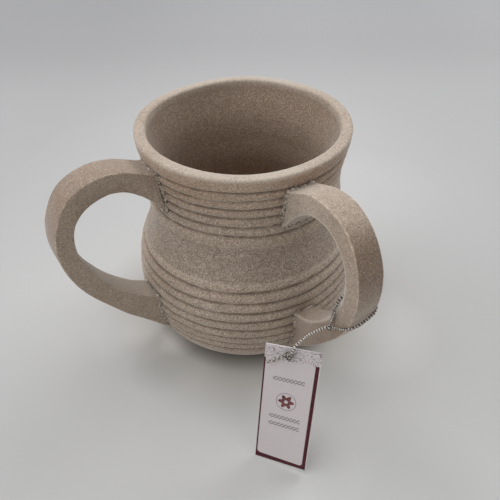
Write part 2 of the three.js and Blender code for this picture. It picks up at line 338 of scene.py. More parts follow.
def spline(points, count):
    """Catmull-Rom curve through points, at count even steps of its length."""
    points = np.array(points, float)
    before = 2 * points[0] - points[1]
    after = 2 * points[-1] - points[-2]
    p = np.vstack([before, points, after])
    fine = []
    for i in range(1, len(p) - 2):
        t = np.linspace(0, 1, 24, endpoint=False)[:, None]
        a, b, c, d = p[i - 1], p[i], p[i + 1], p[i + 2]
        fine.append(0.5 * (
            2 * b + (c - a) * t + (2 * a - 5 * b + 4 * c - d) * t ** 2
            + (3 * b - a - 3 * c + d) * t ** 3
        ))
    return resample(np.vstack([*fine, points[-1:]]), count)


def run_along(points):
    """How far along its path each point lies."""
    return np.r_[0, np.cumsum(np.linalg.norm(np.diff(points, axis=0), axis=1))]


def resample(points, count):
    run = run_along(points)
    at = np.linspace(0, run[-1], count)
    return np.stack([np.interp(at, run, points[:, k]) for k in range(points.shape[1])], 1)


def unit(vectors):
    return vectors / np.linalg.norm(vectors, axis=-1, keepdims=True)


def full_turn(count):
    return np.linspace(0, math.tau, count, endpoint=False)


def ripple(rng, turn, low, high):
    """Smooth random wave round a full turn, with about unit size."""
    value = np.zeros_like(turn)
    counts = range(low, high + 1)
    for k in counts:
        value += rng.normal() * np.cos(k * turn + rng.uniform(0, math.tau))
    return value / math.sqrt(len(counts) / 2)


def ease(value, low, high):
    t = np.clip((value - low) / (high - low), 0, 1)
    return t * t * (3 - 2 * t)


def fall(value, low, high):
    """One up to low and nothing from high on, where ease rises."""
    return ease(-value, -high, -low)


# Meshes
def grid_faces(rows, columns, wrap_rows=False):
    """Faces between rings of points; wrap_rows joins the last ring to the first."""
    r = np.arange(rows if wrap_rows else rows - 1)
    r, c = np.meshgrid(r, np.arange(columns), indexing="ij")
    below, right = (r + 1) % rows, (c + 1) % columns
    corners = [r * columns + c, r * columns + right, below * columns + right, below * columns + c]
    return np.stack(corners, -1).reshape(-1, 4).tolist()


def closed_faces(rows, columns):
    """Faces of a grid of rings whose two ends close on the two points after the grid's own."""
    faces = grid_faces(rows, columns)
    end = rows * columns
    for first, centre in ((0, end), (end - columns, end + 1)):
        faces += [[first + i, first + (i + 1) % columns, centre] for i in range(columns)]
    return faces


def in_scene(name, data):
    made = bpy.data.objects.new(name, data)
    bpy.context.scene.collection.objects.link(made)
    return made


def finish_mesh(shape, mesh):
    """Write a shape into a mesh, with its faces turned outwards."""
    bmesh.ops.recalc_face_normals(shape, faces=shape.faces)
    shape.to_mesh(mesh)
    shape.free()


def piece(name, points, faces, material, marks=None):
    """A smooth object; its marks are values, one per point, that its material reads."""
    mesh = bpy.data.meshes.new(name)
    mesh.from_pydata(np.asarray(points).tolist(), [], faces)
    shape = bmesh.new()
    shape.from_mesh(mesh)
    finish_mesh(shape, mesh)
    mesh.shade_smooth()
    for mark, values in (marks or {}).items():
        mesh.attributes.new(mark, "FLOAT", "POINT").data.foreach_set(
            "value", np.asarray(values, np.float32))
    mesh.materials.append(material)
    return in_scene(name, mesh)


def place_on(made, body, slot, *nodes):
    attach(made, body)
    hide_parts(*nodes)
    return made


# Materials
class Nodes:
    """Short calls that add nodes to a tree and connect them."""

    def __init__(self, tree):
        self.tree = tree

    def node(self, kind, inputs=None, **settings):
        made = self.tree.nodes.new("ShaderNode" + kind)
        for key, value in settings.items():
            setattr(made, key, value)
        for key, value in (inputs or {}).items():
            self.feed(made.inputs[key], value)
        return made

    def feed(self, socket, value):
        if isinstance(value, bpy.types.NodeSocket):
            self.tree.links.new(value, socket)
        elif hasattr(value, "__len__") and len(value) == 3 and socket.type == "RGBA":
            socket.default_value = (*value, 1)
        else:
            socket.default_value = value

    def place(self):
        return self.node("TexCoord").outputs["Object"]

    def measure(self, operation, *vectors):
        """A number worked out from vectors, such as a distance."""
        made = self.node("VectorMath", dict(enumerate(vectors)), operation=operation)
        return made.outputs["Value"]

    def noise(self, place, scale, detail=2, roughness=0.5):
        inputs = {"Vector": place, "Scale": scale, "Detail": detail, "Roughness": roughness}
        return self.node("TexNoise", inputs).outputs["Fac"]

    def cells(self, place, scale):
        made = self.node("TexVoronoi", {"Vector": place, "Scale": scale})
        split = self.node("SeparateColor", {"Color": made.outputs["Color"]})
        return made.outputs["Distance"], split.outputs["Red"], split.outputs["Green"]

    def ramp(self, value, low, high, start=0, end=1):
        inputs = dict(enumerate((value, low, high, start, end)))
        return self.node("MapRange", inputs).outputs["Result"]

    def math(self, operation, a, b=0):
        return self.node("Math", {0: a, 1: b}, operation=operation).outputs[0]

    def times(self, *parts):
        return reduce(lambda a, b: self.math("MULTIPLY", a, b), parts)

    def either(self, *parts):
        return reduce(lambda a, b: self.math("MAXIMUM", a, b), parts)

    def mix(self, share, a, b, blend="MIX"):
        inputs = {"Factor": share, 6: a, 7: b}
        return self.node("Mix", inputs, data_type="RGBA", blend_type=blend).outputs[2]

    def tint(self, share, base, by):
        """The base colour, multiplied by another as far as the share says."""
        return self.mix(share, base, by, "MULTIPLY")

    def mark(self, name):
        return self.node("Attribute", attribute_name=name).outputs["Fac"]

    def background_seen(self):
        """Share of rays that see the plain background: camera, glossy and transmission rays."""
        ray = self.node("LightPath").outputs
        return self.either(ray["Is Camera Ray"], ray["Is Glossy Ray"], ray["Is Transmission Ray"])


class Shader(Nodes):
    """A Principled material and the nodes that feed it."""

    def __init__(self, name, roughness, metallic=0, specular=0.5):
        self.material = bpy.data.materials.new(name)
        self.material.use_nodes = True
        super().__init__(self.material.node_tree)
        self.surface = self.tree.nodes["Principled BSDF"]
        self.surface.inputs["Roughness"].default_value = roughness
        self.surface.inputs["Metallic"].default_value = metallic
        self.surface.inputs["Specular IOR Level"].default_value = specular

    def bump(self, height, strength, distance):
        inputs = {"Height": height, "Strength": strength, "Distance": distance}
        made = self.node("Bump", inputs)
        self.feed(self.surface.inputs["Normal"], made.outputs["Normal"])

    def colour(self, value):
        self.feed(self.surface.inputs["Base Color"], value)
        return self.material


def stone_material():
    """Sandy cast stone with specks; marks on the mesh say where it is pale, worn, dirty or inside,
    and where shade and highlights are painted into it.
    """
    s = Shader("cast_stone", roughness=0.9, specular=0.25)
    s.surface.inputs["Sheen Weight"].default_value = 0.38
    s.surface.inputs["Sheen Roughness"].default_value = 0.4
    place = s.place()
    blotch = s.noise(place, 38, 3, 0.6)
    cloud = s.noise(place, 190, 3, 0.6)
    sand = s.noise(place, 1900, 2, 0.85)
    distance, pick, tone = s.cells(place, 1800)
    near = s.ramp(distance, 0.25, 0.55, 1, 0)
    dark_speck = s.times(s.ramp(pick, 0.9, 0.91), near)
    pale_speck = s.times(s.ramp(pick, 0.05, 0.04), near)
    coarse = s.math("ADD", 0.78, s.times(s.mark("strip"), 0.08))
    smooth = s.math("ADD", s.times(s.mark("fine"), 0.3), s.times(s.mark("pale"), 0.4))
    rough = s.math("MAXIMUM", s.math("SUBTRACT", coarse, smooth), 0.22)

    colour = s.mix(s.ramp(blotch, 0.35, 0.68), *STONE_BASE)
    # Pale: worn stone and painted highlights
    colour = s.mix(s.mark("pale"), colour, STONE_PALE_WEAR_AND_HIGHLIGHT)
    colour = s.mix(s.mark("edge"), colour, STONE_WORN)
    # Inside the cup: painted shade, browner towards the bottom as painted warm reflected light
    colour = s.mix(s.mark("inside"), colour, s.mix(s.mark("deep"), *STONE_INSIDE_SHADE_AND_REFLECTION))
    # Tints, among them painted shade under the lip, inside the cup and on the handles
    for mark, tint in STONE_TINTS.items():
        colour = s.tint(s.mark(mark), colour, tint)
    colour = s.tint(s.ramp(cloud, 0.3, 0.72), colour, STONE_MOTTLE)
    colour = s.tint(rough, colour, s.mix(s.ramp(sand, 0.35, 0.65), *SAND_CONTRAST))
    colour = s.tint(rough, colour, s.mix(tone, *GRAIN_CONTRAST))
    colour = s.mix(s.times(dark_speck, 0.7), colour, STONE_DARK_SPECK)
    colour = s.mix(s.times(pale_speck, 0.5), colour, STONE_PALE_SPECK)
    # Dirt and painted shade in the grooves and round the handles' feet
    dirt_and_shade = s.times(s.mark("groove"), s.ramp(cloud, 0.25, 0.75, 0.45, 0.85))
    grain = s.math("ADD", s.times(sand, 0.75), s.times(tone, 0.25))
    s.bump(s.math("SUBTRACT", grain, s.times(dark_speck, 0.3)), 0.6, 0.0002)
    return s.colour(s.mix(dirt_and_shade, colour, STONE_DIRT_AND_SHADE))


def adhesive_material():
    s = Shader("crumbly_adhesive", roughness=0.6, specular=0.4)
    place = s.place()
    lump = s.noise(place, 620, 2, 0.6)
    distance, pick, tone = s.cells(place, 1500)
    base = s.mix(s.ramp(lump, 0.4, 0.52), (0.25, 0.2, 0.155), (0.52, 0.445, 0.37))
    grit = s.mix(s.ramp(pick, 0.9, 0.93), base, (0.12, 0.09, 0.07))
    pale = s.mix(s.mark("crumb"), grit, (0.62, 0.55, 0.475))
    glint = s.times(s.ramp(tone, 0.93, 0.96), s.ramp(distance, 0.5, 0.3))
    s.bump(lump, 0.8, 0.0003)
    return s.colour(s.mix(glint, pale, (0.85, 0.8, 0.74)))


def thread_material():
    s = Shader("silver_and_charcoal_thread", roughness=0.4, metallic=0.3)
    place = s.place()
    fibre = s.noise(place, 3200, 3, 0.7)
    wobble = s.ramp(s.noise(place, 1400, 2), 0.3, 0.7, -0.25, 0.25)
    stripe = s.ramp(s.math("ADD", s.mark("stripe"), wobble), 0.35, 0.62)
    silver = s.mix(s.ramp(fibre, 0.35, 0.6), (0.46, 0.427, 0.385), (0.84, 0.797, 0.74))
    charcoal = s.mix(s.ramp(fibre, 0.45, 0.75), (0.048, 0.038, 0.03), (0.22, 0.175, 0.142))
    s.bump(fibre, 0.8, 0.00012)
    return s.colour(s.mix(stripe, charcoal, silver))


def plain_card_material():
    s = Shader("card_stock", roughness=0.62, specular=0.3)
    pulp = s.noise(s.place(), 900, 4, 0.6)
    s.bump(pulp, 0.15, 0.0001)
    return s.colour(s.mix(s.ramp(pulp, 0.3, 0.7), (0.66, 0.62, 0.63), (0.72, 0.68, 0.69)))


def printed_card_material():
    """Pale card with a dark border on three sides, fine line work on its top band and a rosette."""
    s = Shader("printed_card", roughness=0.55, specular=0.2)
    uv = s.node("UVMap", uv_map="card").outputs["UV"]
    split = s.node("SeparateXYZ", {"Vector": uv})
    x, y = split.outputs["X"], split.outputs["Y"]

    def above(value, edge):
        return s.ramp(value, edge - PRINT_SOFT, edge + PRINT_SOFT)

    def below(value, edge):
        return s.ramp(value, edge - PRINT_SOFT, edge + PRINT_SOFT, 1, 0)

    paper = s.noise(s.place(), 700, 4, 0.6)
    tint = s.mix(s.ramp(paper, 0.3, 0.7), (0.592, 0.538, 0.546), (0.627, 0.573, 0.58))

    edge = s.math("ADD", BAND_FOOT, s.times(s.noise(uv, 0.3, 2), BAND_WANDER))
    band = above(s.math("SUBTRACT", y, edge), 0)
    scroll = s.math("PINGPONG", s.times(s.noise(uv, 0.27, 1.5, 0.5), 8), 0.5)
    drawn = s.times(band, s.ramp(scroll, 0.08, 0.17, 1, 0))
    lined = s.mix(s.times(drawn, 0.75), tint, (0.15, 0.11, 0.125))

    inside_end = below(x, BORDER_END)
    sides = s.either(
        below(x, BORDER_LEFT), s.times(above(x, BORDER_RIGHT), inside_end),
        s.times(above(y, 0.3), below(y, BORDER_FOOT)))
    corners = s.either(
        below(s.math("ADD", x, y), CORNER_SUM), above(s.math("SUBTRACT", x, y), CORNER_DIFFERENCE))
    border = s.either(
        s.times(sides, below(y, BORDER_TOP), inside_end, above(y, 0.35)),
        s.times(corners, below(y, CORNER_TOP), inside_end, above(y, 0.3)))

    across, up = [s.math("SUBTRACT", spot, middle) for spot, middle in zip((x, y), ROSETTE)]
    away = s.measure("DISTANCE", uv, (*ROSETTE, 0))
    wave = s.math("COSINE", s.times(s.math("ARCTAN2", up, across), PETALS))
    petals = s.math("ADD", PETAL_REACH, s.times(wave, PETAL_DEPTH))
    flower = below(s.math("SUBTRACT", away, petals), 0)
    rosette = s.times(flower, s.math("SUBTRACT", 1, below(away, EYE_RADIUS)))
    ring = s.times(
        s.ramp(away, RING_INSIDE, RING_INSIDE + 0.15),
        s.ramp(away, RING_OUTSIDE, RING_OUTSIDE - 0.15))

    def braid(level):
        wave = s.times(s.math("SINE", s.times(x, BRAID_TURN)), BRAID_SWING)
        up = s.math("SUBTRACT", y, level)
        strands = [s.math("ABSOLUTE", s.math(sign, up, wave)) for sign in ("ADD", "SUBTRACT")]
        start, end = BRAID_ENDS
        drawn = s.either(*[below(strand, BRAID_LINE) for strand in strands])
        return s.times(drawn, above(x, start), below(x, end))

    grey = s.either(ring, *[braid(level) for level in BRAID_LEVELS])
    inked = s.mix(s.times(grey, 0.9), lined, (0.17, 0.15, 0.16))
    shine = s.ramp(s.noise(uv, 0.6, 2), 0.35, 0.7)
    wine = s.mix(shine, (0.05, 0.008, 0.013), (0.09, 0.018, 0.025))
    red = s.mix(shine, (0.1, 0.022, 0.026), (0.24, 0.1, 0.1))
    s.bump(paper, 0.12, 0.0001)
    return s.colour(s.mix(border, s.mix(rosette, inked, red), wine))


def floor_material():
    """Pale paper with painted light and shade, brightest behind the cup and dim close to it, that
    runs into the backdrop.
    """
    s = Shader("pale_floor", roughness=0.75, specular=0.2)
    place = s.place()
    away = s.measure("DOT_PRODUCT", place, AWAY)
    aside = s.measure("DOT_PRODUCT", place, CAMERA_RIGHT)
    from_axis = s.measure("LENGTH", place)
    from_band = s.math("ABSOLUTE", s.math("SUBTRACT", away, BAND_AWAY))
    from_middle = s.math("ABSOLUTE", s.math("SUBTRACT", aside, SIDE_MIDDLE))
    # Painted shade darker away from the camera and in a far band, then patches of painted light and
    # shadow
    shade = s.mix(s.ramp(away, FLOOR_NEAR, FLOOR_FAR), FLOOR_COLOUR, FLOOR_FAR_PAINTED_SHADE)
    shade = s.tint(s.ramp(from_band, *BAND_EDGES, 1, 0), shade, BAND_PAINTED_SHADE)
    for centre, near, far, gain in FLOOR_PAINTED_LIGHT_AND_SHADOW:
        off = s.measure("DISTANCE", place, centre)
        shade = s.tint(s.ramp(off, near, far, 1, 0), shade, (gain, gain, gain))
    # Painted shade to both sides, and painted shadow near the cup and under it
    shade = s.tint(s.ramp(from_middle, *SIDE_EDGES), shade, SIDE_PAINTED_SHADE)
    shade = s.tint(s.ramp(from_axis, *NEAR_EDGES, 1, 0), shade, NEAR_PAINTED_SHADOW)
    shade = s.tint(s.ramp(from_axis, *UNDER_EDGES, 1, 0), shade, UNDER_PAINTED_SHADOW)
    s.colour(s.tint(s.ramp(s.noise(place, 2.2, 2), 0.35, 0.65), shade, (1.03, 1.03, 1.03)))
    backdrop = s.node("Emission", {"Color": WORLD_SEEN}).outputs["Emission"]
    seen = s.times(s.ramp(from_axis, *BACKDROP_EDGES), s.background_seen())
    blend = s.node("MixShader", {0: seen, 1: s.surface.outputs["BSDF"], 2: backdrop})
    s.feed(s.tree.nodes["Material Output"].inputs["Surface"], blend.outputs["Shader"])
    return s.material


# Camera
def make_camera():
    camera = in_scene("camera", bpy.data.cameras.new("camera"))
    bpy.context.scene.camera = camera
    camera.data.lens = CAMERA_LENS
    camera.data.clip_start = CAMERA_CLIP
    right = CAMERA_RIGHT.normalized()
    back = right.cross(CAMERA_UP).normalized()
    up = back.cross(right)
    turn = Matrix((right, up, back)).transposed().to_4x4()
    camera.matrix_world = Matrix.Translation(CAMERA_PLACE) @ turn


# String
def frames_along(path):
    """Two unit directions across a path at each point, that turn as little as they can."""
    along = unit(np.gradient(path, axis=0))
    across = [unit(np.cross(along[0], (0.3, 0.9, 0.2)))]
    for direction in along[1:]:
        across.append(unit(across[-1] - direction * np.dot(across[-1], direction)))
    return np.array(across), np.cross(along, across)


def rings(path, radii, across, upward):
    """Points round a path, with a radius for each of them and two directions for each ring."""
    turn = full_turn(radii.shape[1])[None, :, None]
    spokes = np.cos(turn) * across[:, None] + np.sin(turn) * upward[:, None]
    return (path[:, None] + radii[..., None] * spokes).reshape(-1, 3)


def joined(parts):
    points, faces, start = [], [], 0
    for part_points, part_faces in parts:
        points.append(part_points)
        faces += [[i + start for i in face] for face in part_faces]
        start += len(part_points)
    return np.vstack(points), faces


def laid_plies(path, size=1.0, open_end=0.0):
    """Plies laid round a path; open_end is the length over which they fray apart at its end."""
    across, upward = frames_along(path)
    run = run_along(path)
    loose = ease(run, run[-1] - open_end, run[-1]) if open_end else np.zeros(len(path))
    around = full_turn(PLY_SIDES)
    parts = []
    for k in range(PLIES):
        turn = math.tau * (run / (STRING_PITCH * size) + k / PLIES)
        offset = PLY_OFFSET * size * (1 + FRAY_SPREAD * loose)
        centre = path + offset[:, None] * (
            np.cos(turn)[:, None] * across + np.sin(turn)[:, None] * upward)
        stripe = np.cos(math.tau * (run / (STRIPE_PITCH * size) + k / PLIES)[:, None] - around)
        radius = PLY_RADIUS * size * (1 - FRAY_THINNING * loose)[:, None]
        radius = radius * (1 + STRIPE_RELIEF * stripe)
        points = [rings(centre, radius, *frames_along(centre)), centre[:1], centre[-1:]]
        parts.append((np.vstack(points), closed_faces(*radius.shape), np.r_[stripe.ravel(), 0, 0]))
    return parts


def thread_piece(name, parts, thread, brightness):
    points, faces = joined([part[:2] for part in parts])
    stripes = np.concatenate([part[2] for part in parts])
    return piece(name, points, faces, thread, {"stripe": (0.5 + 0.5 * stripes) * brightness})


def card_to_row():
    """Card frame to row frame: X across the card, Y up it, Z towards its printed face."""
    lean = math.acos((KNOT_PLACE.z - SEAT_GAP) / TAG_HOLE[1])
    turn = Matrix.Rotation(math.radians(TAG_TURN), 4, "Z") @ Matrix.Rotation(
        math.pi / 2 - lean, 4, "X")
    hole = turn @ Vector((*TAG_HOLE, 0))
    return Matrix.Translation(KNOT_PLACE - hole) @ turn


def on_card(points):
    place = np.array(card_to_row())
    return np.asarray(points) @ place[:3, :3].T + place[:3, 3]


def make_string(thread):
    count = round(run_along(STRING_ROUTE)[-1] * 1.02 / STRING_STEP)
    path = spline(STRING_ROUTE, count)
    run = np.linspace(0, run_along(path)[-1], count)
    bright = np.repeat(1 - STRING_SHADE_STRENGTH * ease(run, *STRING_SHADE_RUN), PLY_SIDES)
    string = thread_piece("thread", laid_plies(path), thread, np.tile(np.r_[bright, 1, 1], PLIES))
    place_on(string, "cup", "metallic_string", "tag_string")
    return string, path


def make_knot(thread):
    """A looped bead of string on each side of the card, with the stem between them and the run up."""
    t = np.linspace(0, math.tau, 200)
    loop = np.stack([
        (np.sin(t) + 2 * np.sin(2 * t)) / 3, (np.cos(t) - 2 * np.cos(2 * t)) / 3, -np.sin(3 * t),
    ], 1)
    half = np.array(KNOT_SIZE) / 2 - STRING_DIAMETER * KNOT_SCALE / 2
    loop = loop * half * (1, 1, 0.8)
    core = resample(loop[::10] * (0.45, 0.5, 0.9), 90)
    depth = SEAT_GAP + KNOT_SIZE[2] / 2
    parts = []
    for shift, level in ((KNOT_SHIFT, TAG_THICKNESS + depth), ((0, 0), -depth)):
        place = np.array((TAG_HOLE[0] + shift[0], TAG_HOLE[1] + shift[1], level))
        parts += laid_plies(on_card(loop + place), KNOT_SCALE)
        parts += laid_plies(on_card(core + place), KNOT_SCALE)
    stem = np.array([(*TAG_HOLE, -depth), (*TAG_HOLE, TAG_THICKNESS + depth)])
    parts += laid_plies(on_card(resample(stem, 40)), STEM_SCALE)
    run_up = np.array(KNOT_RUN_UP) + (*TAG_HOLE, TAG_THICKNESS)
    parts += laid_plies(on_card(resample(run_up, 20)), STEM_SCALE)
    knot = thread_piece("thread_knot", parts, thread, KNOT_BRIGHTNESS)
    return place_on(knot, "tag", "metallic_string", "string_knot")


def make_tail(thread):
    lift = TAG_THICKNESS + STRING_DIAMETER / 2
    start = TAG_HOLE[0] - KNOT_SIZE[0] / 2 - SEAT_GAP
    sag = TAG_LENGTH - TAG_HOLE[1]
    route = [(start * across, TAG_HOLE[1] - sag * down, lift) for across, down in TAIL_SHARES]
    plies = laid_plies(on_card(spline(route, 80)), STEM_SCALE, TAIL_FRAY)
    tail = thread_piece("thread_tail", plies, thread, TAIL_BRIGHTNESS)
    return place_on(tail, "tag", "metallic_string", "string_tail")


# Cup body
def stretch(shares, low, high, narrow, wide):
    return [(low + rise * (high - low), narrow + swell * (wide - narrow)) for rise, swell in shares]


CREST = [
    *stretch(FOOT_CURVE, 0, BELLY_HEIGHT, BASE_RADIUS, BELLY_RADIUS),
    *stretch(WAIST_CURVE, BELLY_HEIGHT, NECK_HEIGHT, NECK_RADIUS, BELLY_RADIUS)[1:],
    *stretch(THROAT_CURVE, NECK_HEIGHT, LIP_HEIGHT, NECK_RADIUS, LIP_RADIUS)[1:],
]


def crest_radius(height):
    """How far out the crests stand at a height, and past the cup's ends as at them."""
    return smooth_curve(CREST, np.asarray(height, float))


def groove_relief(height, turn, rng):
    """Depth of the grooves and the strip, the dirt and painted shade at each spot, and where the
    strip is.
    """
    depth = np.zeros_like(height)
    dirt_and_shade = np.zeros_like(height)
    levels = [(first + k * pitch, pitch) for first, pitch, count in GROOVES for k in range(count)]
    for number, (middle, pitch) in enumerate(levels):
        faint = number == FAINT_GROOVE
        wander = GROOVE_WANDER * (ripple(rng, turn, 2, 7) + 0.35 * ripple(rng, turn, 12, 40))
        strength = 1 + 0.12 * ripple(rng, turn, 2, 14) + 0.08 * ripple(rng, turn, 20, 60)
        strength = np.clip(strength, 0.6, 1.5) * (FAINT_STRENGTH if faint else 1)
        above = height - middle - wander * (FAINT_WANDER if faint else 1)
        reach = np.where(above > 0, RIB_SHARE_ABOVE, 1 - RIB_SHARE_ABOVE) * pitch
        away = np.sin(math.pi / 2 * np.clip(np.abs(above) / reach, 0, 1))
        depth += strength * RIB_SWELL * (1 - away ** RIB_ROUNDNESS)
        depth += strength * GROOVE_CUT * np.exp(-(above / GROOVE_WIDTH) ** 2)
        # Dirt and painted shade along the groove, then painted shade fading down the rib below
        dirt_and_shade += GROOVE_DIRT_AND_SHADE_SHARE * strength * np.exp(-((above + GROOVE_DIRT_AND_SHADE_DROP) / GROOVE_DIRT_AND_SHADE_WIDTH) ** 2)
        dirt_and_shade += RIB_SHADE_SHARE * strength * np.where(above < 0, np.exp(above / RIB_SHADE_REACH), 0)
    level = height - STRIP_SWAY * ripple(rng, turn, 2, 8)
    strip = ease(level, STRIP_LOW - STRIP_EDGE, STRIP_LOW + STRIP_EDGE)
    strip = strip * fall(level, STRIP_HIGH - STRIP_EDGE / 2, STRIP_HIGH + STRIP_EDGE / 2)
    return depth + STRIP_DEPTH * strip, np.clip(dirt_and_shade, 0, 1), strip


def side_profile():
    """Crests of the outside from base to lip at even steps, as radius and height."""
    heights = np.linspace(0, LIP_HEIGHT, 900)
    side = np.stack([crest_radius(heights), heights], 1)
    return resample(side, round(run_along(side)[-1] / BODY_STEP))


def lip_profile():
    arc = np.linspace(0, math.pi, LIP_ROWS + 2)[1:-1]
    half = LIP_THICKNESS / 2
    square = np.where(arc > math.pi / 2, *LIP_SQUARENESS)
    bend = np.sign(np.cos(arc)) * np.abs(np.cos(arc)) ** square
    return np.stack([
        LIP_RADIUS - half + bend * half, LIP_HEIGHT + np.sin(arc) ** square * LIP_CROWN], 1)


def inner_profile():
    """The inside from lip to middle: wall, round corner and floor."""
    corner_top = FLOOR_THICKNESS + INNER_CORNER_HEIGHT
    wall = np.linspace(LIP_HEIGHT - INSIDE_START, corner_top, round(LIP_HEIGHT / INSIDE_STEP))
    radius = crest_radius(wall) - WALL_THICKNESS
    lip_inside = LIP_RADIUS - LIP_THICKNESS
    radius += (lip_inside - radius) * ease(wall, LIP_HEIGHT - 0.006, LIP_HEIGHT)
    corner_radius = float(crest_radius(corner_top)) - WALL_THICKNESS
    bend = np.linspace(0, math.pi / 2, 14)[1:]
    corner = np.stack([
        corner_radius - INNER_CORNER_REACH * (1 - np.cos(bend)),
        corner_top - INNER_CORNER_HEIGHT * np.sin(bend)], 1)
    across = np.linspace(corner[-1, 0], 0.002, 24)[1:]
    floor = np.stack([across, np.full_like(across, FLOOR_THICKNESS)], 1)
    return np.vstack([np.stack([radius, wall], 1), corner, floor])


def foot_smear_and_shade(points, feet):
    """Smear and painted shade on the wall round the handles' feet, wider and darker above each of
    them.
    """
    smear_and_shade = np.zeros(len(points))
    for foot in feet:
        pick = np.flatnonzero(np.linalg.norm(points - foot.mean(0), axis=1) < FOOT_REACH)
        line = resample(np.vstack([foot, foot[:1]]), 160)
        away = np.linalg.norm(points[pick, None] - line[None], axis=2).min(1)
        over = ease(points[pick, 2] - foot[:, 2].max(), -0.002, 0.001)
        smeared_and_shaded = (0.45 + 0.3 * over) * np.exp(-(away / (SMEAR_AND_SHADE_REACH * (1 + 0.7 * over))) ** 2)
        smear_and_shade[pick] = np.maximum(smear_and_shade[pick], smeared_and_shaded)
    return smear_and_shade


def body_marks(rng, turn, level, side_rows):
    """Marks that tint the body's stone, for rows of points that run from base over lip to middle."""
    def dark_patch(angle, start, full, low, high, strength):
        facing = ease(np.cos(turn - math.radians(angle)), start, full)
        return strength * facing[None] * ease(level, low, high)

    rows = np.arange(len(level))[:, None]
    outer = rows < side_rows.stop + LIP_ROWS / 2
    inside = fall(level, LIP_HEIGHT - 0.003, LIP_HEIGHT - 0.0004) * (
        rows >= side_rows.stop + LIP_ROWS)
    # Pale lip top: worn stone and a painted highlight, strongest towards the front and the back
    towards = np.cos(2 * (turn - FRONT_ANGLE))
    pale = ease(level, LIP_HEIGHT - 0.0008, LIP_HEIGHT + 0.001) * (
        0.4 + 0.35 * towards + 0.08 * ripple(rng, turn, 3, 20))[None]
    # Painted highlight along the ledge at the strip's foot
    above_ledge = level[side_rows] - STRIP_LOW + LEDGE_HIGHLIGHT_DROP
    pale[side_rows] += 0.35 * np.exp(-(above_ledge / LEDGE_HIGHLIGHT_WIDTH) ** 2)

    # Painted shade under the lip, least straight in front
    under_lip_shade = outer * ease(level, 0.095, 0.122) * fall(level, LIP_HEIGHT, LIP_HEIGHT + 0.0016)
    beside = ease(1 - np.cos(turn - FRONT_ANGLE), 0, 0.08)[None]
    # A darker patch on the ribs by the left handle's bottom foot
    by_left_foot = outer * dark_patch(*LEFT_FOOT_DARKENING) * fall(level, *LEFT_FOOT_DARKENING_ENDS)
    return {
        "pale": pale,
        # Inside and deep: painted shade in the cup, browner towards the bottom as painted reflected
        # light
        "inside": inside,
        "deep": fall(level, 0.03, LIP_HEIGHT - 0.02),
        "fine": 0.8 * ease(level, LIP_HEIGHT - 0.006, LIP_HEIGHT - 0.002),
        "tan": under_lip_shade * (0.45 + 0.35 * beside),
        # Brown: painted shade under the lip beside the front, the darker patch by the left foot, and
        # painted shade on the inside wall
        "brown": 0.2 * under_lip_shade * beside + by_left_foot + inside * sum(
            dark_patch(*place) for place in INSIDE_WALL_SHADE),
    }


def make_body(stone, feet):
    """The cup's shell, with smear and painted shade round the handles' feet; gives back how far out
    its side stands.
    """
    rng = np.random.default_rng(BODY_SEED)
    turn = full_turn(BODY_COLUMNS)
    side = side_profile()
    height = np.repeat(side[:, 1:], BODY_COLUMNS, 1)
    depth, dirt_and_shade, strip = groove_relief(height, turn[None], rng)
    stray = WALL_STRAY * ripple(rng, turn, 2, 5)[None] * ease(height, 0.004, 0.03)
    below_lip = ease(LIP_HEIGHT - height, 0.0008, 0.003)
    outside = side[:, :1] - depth * below_lip + stray

    out, up = np.hsplit(np.vstack([lip_profile(), inner_profile()]), 2)
    rest_radius = out + LIP_STRAY * ripple(rng, turn, 2, 6)[None] * ease(out, 0.01, 0.04)
    rest_level = up + LIP_SAG * ripple(rng, turn, 2, 5)[None] * ease(
        up, LIP_HEIGHT - 0.002, LIP_HEIGHT + 0.001)
    base = np.repeat(np.array(BASE_RINGS)[:, None], BODY_COLUMNS, 1)
    radius = np.vstack([base, outside, rest_radius])
    level = np.vstack([0 * base, height, rest_level])
    grid = np.stack([radius * np.cos(turn), radius * np.sin(turn), level], -1)
    points = np.vstack([grid.reshape(-1, 3), [(0, 0, 0), (0, 0, FLOOR_THICKNESS)]])

    side_rows = slice(len(base), len(base) + len(side))
    marks = body_marks(rng, turn, level, side_rows)
    smear_and_shade = foot_smear_and_shade(grid[side_rows].reshape(-1, 3), feet).reshape(height.shape)
    others = ((len(base), len(out)), (0, 0))
    marks["groove"] = np.pad(np.clip(dirt_and_shade * below_lip + smear_and_shade, 0, 1), others)
    marks["strip"] = np.pad(strip, others)
    marks = {
        name: np.r_[values.ravel(), values[0].mean(), values[-1].mean()]
        for name, values in marks.items()
    }
    body = piece("cup_shell", points, closed_faces(*level.shape), stone, marks)
    place_on(body, "cup", "stone", "cup_body")

    def radius_at(spots):
        row = np.abs(side[:, 1][None] - spots[:, 2:]).argmin(1)
        column = np.arctan2(spots[:, 1], spots[:, 0]) / math.tau * BODY_COLUMNS
        return outside[row, column.round().astype(int) % BODY_COLUMNS]

    return radius_at


# Handles and their adhesive
def strap_section():
    """Round-cornered box section, with a pale rim beside its inner near corner. A row per point:
    its two signs, its angle, how far it stands in from its corner, its wear and its paleness."""
    points = []
    for corner, (a, b) in enumerate(((1, 1), (-1, 1), (-1, -1), (1, -1))):
        for angle in np.linspace(0, math.pi / 2, 7):
            worn = math.sin(2 * angle) ** 2
            points.append((a, b, corner * math.pi / 2 + angle, 0, worn, angle * (corner == 2)))
        if corner == 2:
            points.append((a, b, 1.5 * math.pi, STRAP_RIM, 0, 0))
    return np.array(points).T


